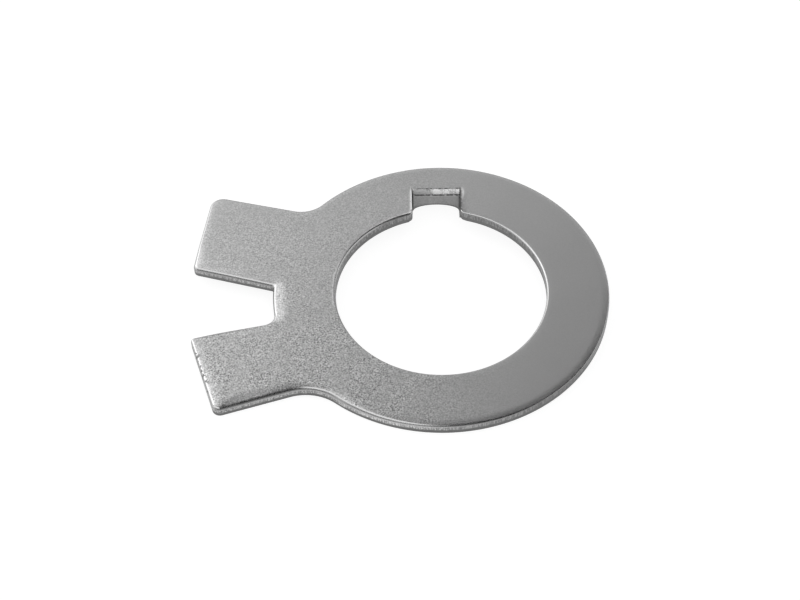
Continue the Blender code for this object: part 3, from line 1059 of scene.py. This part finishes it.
def tumbled_steel_with_painted_light():
    """Satin sheet steel: fine dimples in patches, polished rolled edges, a dragged and broken wall,
    with painted light and shade: glints, highlights on the burrs and the fold, and darker walls, gaps
    and tab.
    """
    material = bpy.data.materials.new("tumbled_steel_with_painted_light")
    nodes = Nodes(material)
    place = nodes.tree.nodes.new("ShaderNodeTexCoord").outputs["Object"]
    axes = nodes.add("ShaderNodeSeparateXYZ", Vector=place)
    wall = nodes.value_of("wall")
    fold = nodes.value_of("fold")
    polish = nodes.value_of("edge_polish")
    grain = nodes.noise(place, *GRAIN)
    ragged = nodes.noise(place, *RAGGED)
    torn = nodes.noise(place, *TORN)
    skin = nodes.noise(place, *SKIN)
    drawn_out = nodes.add("ShaderNodeMapping", Vector=place, Scale=DRAG_STRETCH).outputs[0]
    drag = nodes.noise(drawn_out, *DRAG)

    # The dimples' bumps, and the painted glints and pits in the colour over them, are stronger on the
    # side of the ears, where the light falls, and most at the near ear
    level = nodes.minus(MIDDLE_BITE_AND_GLINTS, nodes.times(axes.outputs[1], BITE_AND_GLINT_GAIN))
    dimples_and_glints = nodes.times(nodes.between(axes.outputs[0], *BITE_AND_GLINT_SPAN), level)
    patches = nodes.between(nodes.noise(place, *PATCHES), *PATCH_LEVELS)
    dimples_and_glints = nodes.times(dimples_and_glints, nodes.plus(EVEN_BITE_AND_GLINTS, nodes.times(patches, 1.0 - EVEN_BITE_AND_GLINTS)))
    dimples_and_glints = nodes.plus(LEAST_BITE_AND_GLINTS, dimples_and_glints)
    dimples_and_glints = nodes.times(dimples_and_glints, nodes.larger(nodes.between(polish, *CALM_LEVELS), wall))

    # The fold: a faint crease where the bend starts, stretched skin that lost its polish with a painted
    # highlight on its right part, and painted shade in spots at its foot
    crease = nodes.times(nodes.band(fold, *CREASE), nodes.between(torn, *CREASE_LEVELS))
    stretched = nodes.band(fold, *STRETCHED)
    # Painted shade in spots at the fold's foot
    foot = nodes.times(nodes.band(fold, *FOOT_SHADE), nodes.between(torn, *FOOT_SHADE_LEVELS))
    # Painted highlight on the fold's right part
    fold_highlight = nodes.between(axes.outputs[0], *FOLD_HIGHLIGHT_SPAN)
    spots = nodes.plus(ragged, nodes.times(grain, GRAIN_IN_SPOTS))
    spots = nodes.between(spots, *SPOT_LEVELS)
    fold_tone_and_highlight = nodes.plus(FOLD_TONE, nodes.times(fold_highlight, FOLD_HIGHLIGHT_TONE))
    fold_tone_and_highlight = nodes.plus(fold_tone_and_highlight, nodes.times(spots, FOLD_SPOT_TONE))

    # The marks: the broken foot of the walls, the bright burr with its painted highlight, and what is
    # dark, with painted shade
    broken = nodes.plus(nodes.value_of("wall_depth"), nodes.times(ragged, RAGGED_IN_BREAK))
    broken = nodes.times(nodes.between(broken, *BROKEN_LEVELS), wall)
    # Burrs, and a painted highlight along the notch's left wall and the bore beside the ears
    bright = nodes.times(nodes.value_of("burr_and_highlight"), nodes.between(ragged, *BURR_LEVELS))
    # Dark seam, and painted shade beside the notch's right wall
    dark = nodes.times(nodes.value_of("seam_and_shade"), nodes.between(torn, *SEAM_LEVELS))
    # Torn steel, and painted shade in the notch, beside the tab's sides and along its tip
    dark = nodes.larger(dark, nodes.value_of("torn"))
    chipped = nodes.times(nodes.value_of("chips"), nodes.between(skin, *CHIP_LEVELS))
    dark = nodes.larger(dark, nodes.times(chipped, CHIP_SHARE))

    tone = nodes.plus(FACE_TONE, nodes.times(nodes.noise(place, *CLOUDS), CLOUD_TONE))
    # Painted glints and dark pits in the colour, as strong as the dimples
    painted_glints_and_pits = nodes.times(nodes.minus(grain, 0.5), GLINT_AND_PIT_TONE)
    tone = nodes.plus(tone, nodes.times(painted_glints_and_pits, dimples_and_glints))
    tone = nodes.plus(tone, nodes.times(polish, POLISH_TONE))
    tone = nodes.mix(stretched, tone, fold_tone_and_highlight)
    tone = nodes.mix(crease, tone, CREASE_TONE)
    tone = nodes.mix(nodes.times(foot, FOOT_SHADE_SHARE), tone, FOOT_SHADE_TONE)
    # Painted light and shade: the outer walls lighter or darker by side, the bore's wall and the folded
    # tab darker
    tone = nodes.times(tone, nodes.value_of("painted_shading"))
    streaks = nodes.times(nodes.between(drag, *STREAK_LEVELS), STREAK_RANGE)
    tone = nodes.mix(wall, tone, nodes.times(tone, nodes.plus(STREAK_TONE, streaks)))
    tone = nodes.mix(broken, tone, BROKEN_TONE)
    tone = nodes.mix(bright, tone, BURR_AND_HIGHLIGHT_TONE)
    tone = nodes.mix(dark, tone, DARK_TONE)
    nodes.feed(nodes.shader.inputs["Base Color"], nodes.grey(tone))
    nodes.feed(nodes.shader.inputs["Metallic"], nodes.minus(1.0, dark))
    nodes.shader.inputs["Specular IOR Level"].default_value = DARK_GLOSS

    rough = nodes.plus(FACE_ROUGHNESS, nodes.times(nodes.noise(place, *PITS), PIT_ROUGHNESS))
    rough = nodes.minus(rough, nodes.times(polish, POLISH_SMOOTHING))
    rough = nodes.plus(rough, nodes.times(stretched, SKIN_ROUGHNESS))
    rough = nodes.mix(broken, rough, MARK_ROUGHNESS)
    rough = nodes.mix(bright, rough, MARK_ROUGHNESS)
    nodes.feed(nodes.shader.inputs["Roughness"], rough)

    heights = [
        (grain, GRAIN_HEIGHT, dimples_and_glints),
        (drag, DRAG_HEIGHT, nodes.times(wall, DRAG_SHARE)),
        (torn, TORN_HEIGHT, broken),
        (skin, SKIN_HEIGHT, stretched),
    ]
    nodes.feed(nodes.shader.inputs["Normal"], nodes.bump(heights))
    return material


# Studio

# Brightness of the room to the camera and the metal, and of its fill on plain surfaces
ROOM = 1.0
FILL = 0.7

# Paper: its size, how far it is below the washer, its tone and roughness, and the glow and tone
# that make it look white in the metal and in the picture
PAPER_SIZE = 3.0
PAPER_ROOM = 0.00002
PAPER_TONE = 0.9
PAPER_ROUGHNESS = 0.9
PAPER_IN_METAL = (0.35, 0.65)
PAPER_IN_PICTURE = (0.9, 0.2)

# Square lamp: place, size and brightness
LAMP_PLACE = (-0.42, 0.3, 0.36)
LAMP_SIZE = 0.36
LAMP_BRIGHTNESS = 1.2

# Cards round the washer: name, bearings and rises in degrees, distance, and tone
CARDS = [
    ("left_window", (110.0, 190.0), (6.0, 64.0), 0.7, 1.55),
    ("top_left_window", (190.0, 262.0), (40.0, 88.0), 0.7, 1.5),
    ("right_dark_card", (-96.0, 87.0), (45.0, 90.0), 0.8, 0.02),
    ("top_dark_card", (86.0, 135.0), (65.0, 89.0), 0.8, 0.1),
    ("front_grey_card", (-150.0, -30.0), (1.0, 34.0), 0.8, 0.34),
    ("front_dark_card", (-150.0, -30.0), (34.0, 48.0), 0.8, 0.05),
    ("back_dark_card", (36.0, 122.0), (0.5, 24.0), 0.8, 0.2),
]
CARD_COLUMNS = 17
CARD_ROWS = 13

# Camera: its distance from the bore's centre, its rise above the sheet, its roll, its focal length
# in pixels of the picture, and the column and row of the bore's centre there
CAMERA_DISTANCE = 0.29963
CAMERA_RISE = 0.8819
CAMERA_ROLL = -0.0117
FOCAL_PIXELS = 1984.5
CENTRE_COLUMN = 440.8658
CENTRE_ROW = 289.6617
PICTURE_WIDTH = 800.0
PICTURE_HEIGHT = 600.0
SENSOR_MILLIMETRES = 36.0
NEAREST_SEEN = 0.01
FARTHEST_SEEN = 20.0


def ray_share(tree, *names):
    """One for rays of the named kinds and zero for all others."""
    path = tree.nodes.new("ShaderNodeLightPath")
    total = path.outputs[names[0]]
    for name in names[1:]:
        either = tree.nodes.new("ShaderNodeMath")
        either.operation = "MAXIMUM"
        tree.links.new(total, either.inputs[0])
        tree.links.new(path.outputs[name], either.inputs[1])
        total = either.outputs[0]
    return total


def studio_world():
    """White room to the camera and to the metal, and a dimmer fill for plain surfaces."""
    world = bpy.data.worlds.new("white_studio")
    world.use_nodes = True
    tree = world.node_tree
    tree.nodes.clear()
    output = tree.nodes.new("ShaderNodeOutputWorld")
    mix = tree.nodes.new("ShaderNodeMixShader")
    seen_by = ray_share(tree, "Is Camera Ray", "Is Glossy Ray", "Is Transmission Ray")
    tree.links.new(seen_by, mix.inputs[0])
    for strength, socket in ((FILL, mix.inputs[1]), (ROOM, mix.inputs[2])):
        light = tree.nodes.new("ShaderNodeBackground")
        light.inputs["Color"].default_value = (1.0, 1.0, 1.0, 1.0)
        light.inputs["Strength"].default_value = strength
        tree.links.new(light.outputs[0], socket)
    tree.links.new(mix.outputs[0], output.inputs["Surface"])
    bpy.context.scene.world = world


def linked(name, data):
    """New object of the scene with the given data."""
    item = bpy.data.objects.new(name, data)
    bpy.context.scene.collection.objects.link(item)
    return item


def resting_plane():
    """Place and lean of the paper that the washer comes to rest on, when lying on its tab.

    It touches a corner of the tab's tip, and the line that the ring's rim and the near ear's outer
    corner share: the unit vector across that line has the same reach on both circles.
    """
    ear = crossing(NEAR_END, NEAR_OUTER, NEAR_OUTER_CORNER)
    apart = float(np.linalg.norm(ear))
    lean = angle_of(ear) + math.acos((RING_RADIUS - NEAR_OUTER_CORNER) / apart)
    across = unit(lean)
    tip = np.array([NOTCH_CENTRE - TAB_HALF_WIDTH, FOLD_LINE - FOLD_RADIUS + SHEET])
    run = RING_RADIUS - float(across @ tip)
    return tip, across, TAB_DROP / run


def white_paper():
    """Matt white paper, which looks evenly white to the camera and to the metal under a soft shadow."""
    material = bpy.data.materials.new("white_paper")
    material.use_nodes = True
    tree = material.node_tree
    shader = tree.nodes["Principled BSDF"]
    shader.inputs["Base Color"].default_value = (PAPER_TONE, PAPER_TONE, PAPER_TONE, 1.0)
    shader.inputs["Roughness"].default_value = PAPER_ROUGHNESS
    shader.inputs["Specular IOR Level"].default_value = 0.0
    surface = shader.outputs[0]
    kinds = [
        (("Is Glossy Ray", "Is Transmission Ray"), PAPER_IN_METAL),
        (("Is Camera Ray",), PAPER_IN_PICTURE),
    ]
    for names, (strength, tone) in kinds:
        glow = tree.nodes.new("ShaderNodeEmission")
        glow.inputs["Strength"].default_value = strength
        lit = tree.nodes.new("ShaderNodeBsdfDiffuse")
        lit.inputs["Color"].default_value = (tone, tone, tone, 1.0)
        both = tree.nodes.new("ShaderNodeAddShader")
        tree.links.new(glow.outputs[0], both.inputs[0])
        tree.links.new(lit.outputs[0], both.inputs[1])
        mix = tree.nodes.new("ShaderNodeMixShader")
        tree.links.new(ray_share(tree, *names), mix.inputs[0])
        tree.links.new(surface, mix.inputs[1])
        tree.links.new(both.outputs[0], mix.inputs[2])
        surface = mix.outputs[0]
    tree.links.new(surface, tree.nodes["Material Output"].inputs["Surface"])
    return material


def paper_floor():
    """Square sheet of paper on the plane that the washer rests on, which keeps its soft shadow."""
    middle = outer_outline()[0].box_middle()
    tip, across, slope = resting_plane()
    half = PAPER_SIZE / 2.0
    corners = [(-half, -half, 0.0), (half, -half, 0.0), (half, half, 0.0), (-half, half, 0.0)]
    mesh = bpy.data.meshes.new("paper_floor")
    mesh.from_pydata(corners, [], [(0, 1, 2, 3)])
    up = Vector((-across[0] * slope, -across[1] * slope, 1.0)).normalized()
    turn = up.to_track_quat("Z", "Y").to_matrix().to_4x4()
    place = Vector((tip[0] - middle[0], tip[1] - middle[1], -PAPER_ROOM))
    mesh.transform(Matrix.Translation(place) @ turn)
    mesh.materials.append(white_paper())
    linked("paper_floor", mesh)


def soft_box(name, place, size, brightness):
    """Square lamp whose face has the given brightness, aimed at the washer."""
    lamp = bpy.data.lights.new(name, "AREA")
    lamp.shape = "RECTANGLE"
    lamp.size, lamp.size_y = size, size
    lamp.energy = brightness * math.pi * size * size
    item = linked(name, lamp)
    item.location = place
    item.rotation_mode = "QUATERNION"
    item.rotation_quaternion = (-Vector(place)).to_track_quat("-Z", "Y")
    item.visible_camera = False


def round_card(name, bearings, rises, distance, tone):
    """Card bent to part of a sphere about the washer, which its metal reflects.

    A point of it is the distance times the unit vector at a bearing, turned left from +X, and at a
    rise above the level. The tone is how bright it looks, where 1 is white paper.
    """
    bearing = np.radians(np.linspace(*bearings, CARD_COLUMNS))[None, :]
    rise = np.radians(np.linspace(*rises, CARD_ROWS))[:, None]
    x = distance * np.cos(rise) * np.cos(bearing)
    y = distance * np.cos(rise) * np.sin(bearing)
    z = distance * np.sin(rise) * np.ones_like(bearing)
    points = np.stack([x, y, z], axis=2).reshape(-1, 3)
    index = np.arange(len(points)).reshape(CARD_ROWS, CARD_COLUMNS)
    corners = [index[:-1, :-1], index[1:, :-1], index[1:, 1:], index[:-1, 1:]]
    mesh = bpy.data.meshes.new(name)
    mesh.from_pydata(points, [], np.stack(corners, axis=2).reshape(-1, 4))
    material = bpy.data.materials.new(name)
    material.use_nodes = True
    tree = material.node_tree
    tree.nodes.clear()
    output = tree.nodes.new("ShaderNodeOutputMaterial")
    glow = tree.nodes.new("ShaderNodeEmission")
    glow.inputs["Color"].default_value = (tone, tone, tone, 1.0)
    tree.links.new(glow.outputs[0], output.inputs["Surface"])
    mesh.materials.append(material)
    card = linked(name, mesh)
    card.visible_camera = False
    card.visible_diffuse = False
    card.visible_shadow = False


def camera():
    """Camera that sees the bore's centre at its place in the photograph."""
    right = np.array([1.0, 0.0, 0.0])
    up = np.array([0.0, math.sin(CAMERA_RISE), math.cos(CAMERA_RISE)])
    back = np.array([0.0, -math.cos(CAMERA_RISE), math.sin(CAMERA_RISE)])
    side = math.cos(CAMERA_ROLL) * right + math.sin(CAMERA_ROLL) * up
    top = -math.sin(CAMERA_ROLL) * right + math.cos(CAMERA_ROLL) * up
    across = (CENTRE_COLUMN - PICTURE_WIDTH / 2.0) / FOCAL_PIXELS * CAMERA_DISTANCE
    above = -(CENTRE_ROW - PICTURE_HEIGHT / 2.0) / FOCAL_PIXELS * CAMERA_DISTANCE
    middle = outer_outline()[0].box_middle()
    target = np.array([-middle[0], -middle[1], SHEET + TAB_DROP])
    place = target - (across * side + above * top - CAMERA_DISTANCE * back)
    lens = bpy.data.cameras.new("camera")
    lens.sensor_width = SENSOR_MILLIMETRES
    lens.lens = FOCAL_PIXELS * SENSOR_MILLIMETRES / PICTURE_WIDTH
    lens.clip_start = NEAREST_SEEN
    lens.clip_end = FARTHEST_SEEN
    item = linked("camera", lens)
    turn = Matrix([side, top, back]).transposed().to_4x4()
    item.matrix_world = Matrix.Translation(Vector(place)) @ turn
    bpy.context.scene.camera = item


bpy.context.scene.view_settings.view_transform = "Standard"
camera()
studio_world()
paper_floor()
soft_box("left_soft_box", LAMP_PLACE, LAMP_SIZE, LAMP_BRIGHTNESS)
for card in CARDS:
    round_card(*card)

shell = washer_shell()
shell.materials.append(tumbled_steel_with_painted_light())
washer = linked("steel_washer", shell)
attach(washer, "root")
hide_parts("washer")
